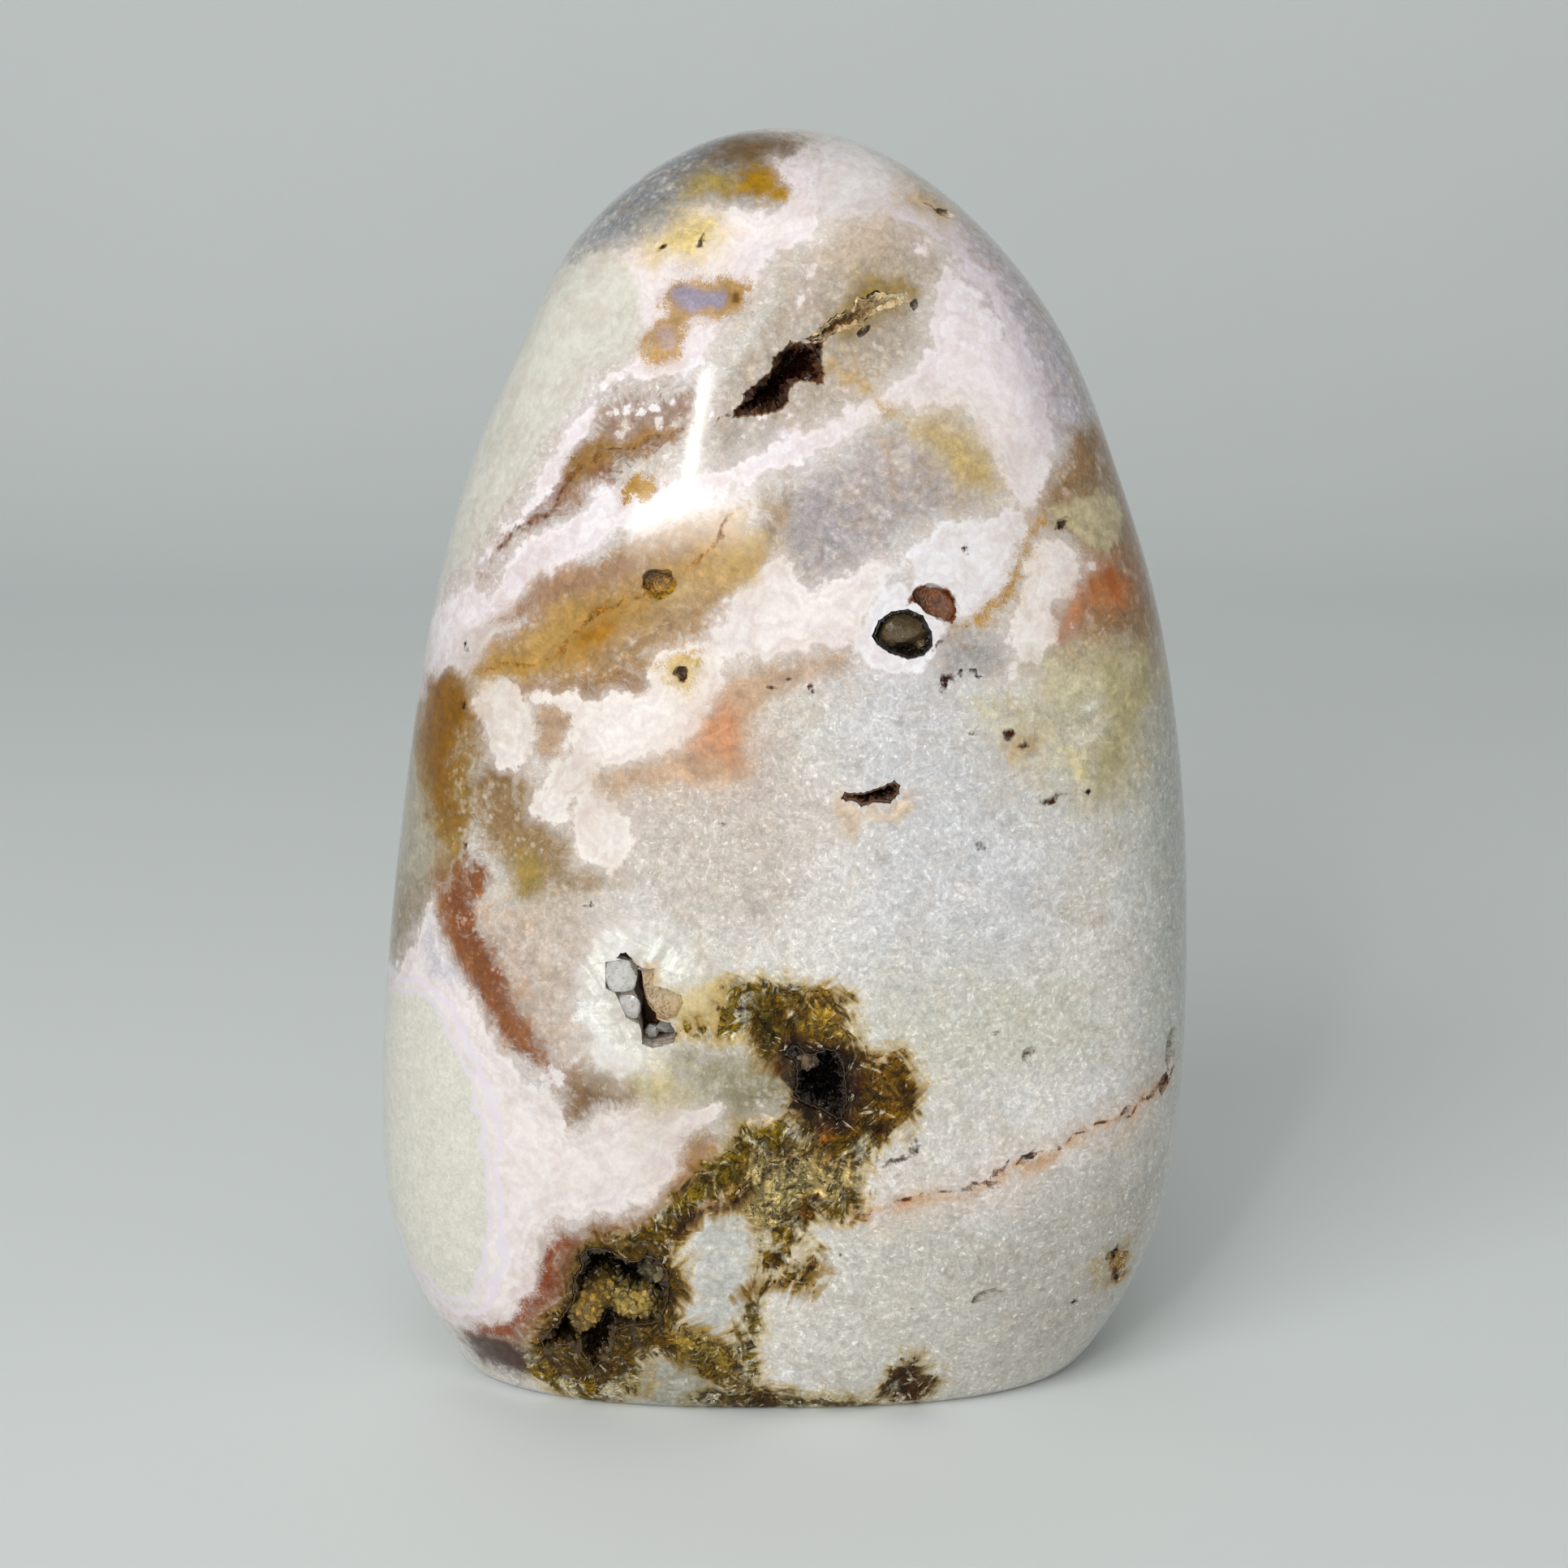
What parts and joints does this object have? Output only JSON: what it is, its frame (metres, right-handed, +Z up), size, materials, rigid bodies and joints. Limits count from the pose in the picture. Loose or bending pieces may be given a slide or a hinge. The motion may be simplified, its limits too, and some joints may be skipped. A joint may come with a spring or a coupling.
{
  "type": "flower agate freeform",
  "caption": "Tall polished freeform of flower agate with a rounded top, a flat cut base and crystal-lined hollows in its front face.",
  "frame": {"origin": "centre of the flat base, at the bottom centre of the stone's box", "axes": "+Z up from the base to the rounded top, -Y out of the face with the hollows, +X to the right seen from that face"},
  "size_m": [0.0788, 0.0466, 0.12],
  "materials": {
    "agate": "high polish, white to pink chalcedony and sugary quartz with ochre and brown stains",
    "druse": "unpolished small quartz crystals stained golden to dark brown",
    "clear_quartz": "clear to milky quartz crystals with flat natural faces"
  },
  "bodies": {
    "root": {"agate_stone": "agate", "upper_hollow_crust": "druse", "centre_hollow_crust": "druse", "clear_quartz_crust": "clear_quartz", "brown_hollow_crust": "druse", "lower_hollow_crust": "druse", "grey_pocket_crust": "druse"}
  },
  "joints": []
}
